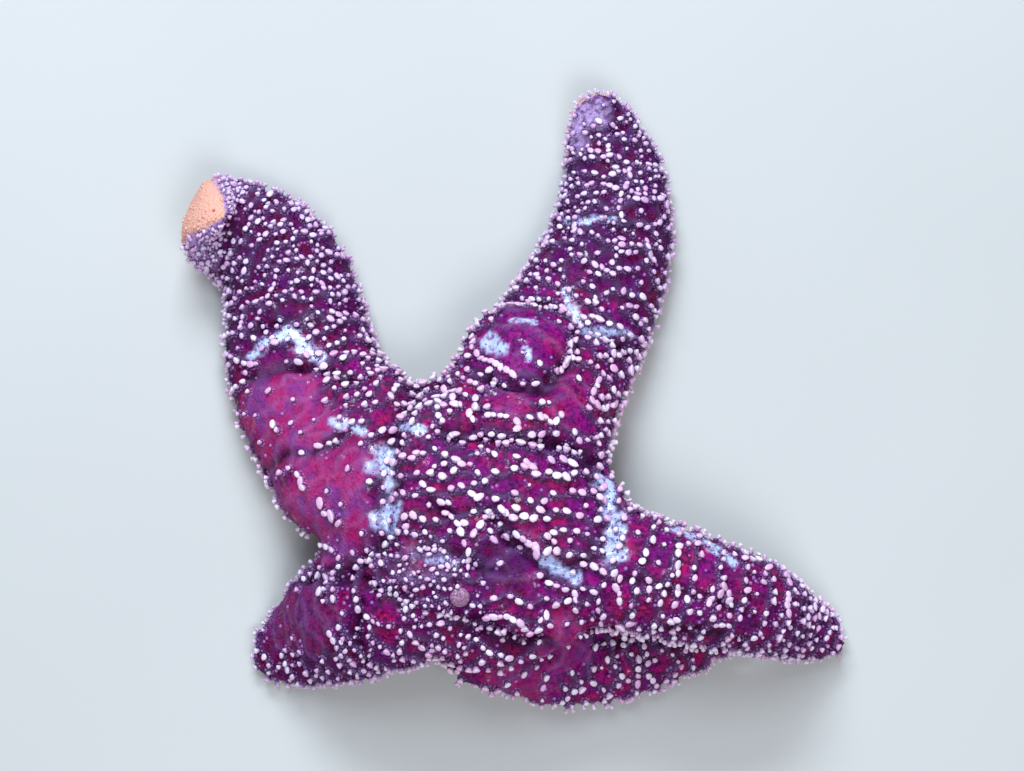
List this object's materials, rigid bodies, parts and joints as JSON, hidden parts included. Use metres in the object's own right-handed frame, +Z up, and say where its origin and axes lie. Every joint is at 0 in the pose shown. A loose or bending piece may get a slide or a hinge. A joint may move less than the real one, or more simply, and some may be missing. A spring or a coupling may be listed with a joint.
{
  "type": "starfish",
  "caption": "Ochre sea star, a still life-size model: humped disc, tapering spiny arms, one tip curled over, small sieve plate on the back.",
  "frame": {"origin": "middle of the footprint's bounding box, on the floor the animal rests on", "axes": "+Z up from the floor, +Y towards the two back arms, +X towards the arm on the right"},
  "size_m": [0.187, 0.1742, 0.0488],
  "materials": {
    "skin": "wet, glossy",
    "sieve_plate": "wet, fine grooves"
  },
  "bodies": {
    "root": {"disc": "skin", "madreporite": "sieve_plate", "arm_back_root": "skin", "arm_back_middle": "skin", "arm_back_tip": "skin", "arm_back_left_root": "skin", "arm_back_left_middle": "skin", "arm_back_left_tip": "skin", "arm_front_left_root": "skin", "arm_front_left_tip": "skin", "arm_front_root": "skin", "arm_front_tip": "skin", "arm_right_root": "skin", "arm_right_tip": "skin"}
  },
  "joints": []
}
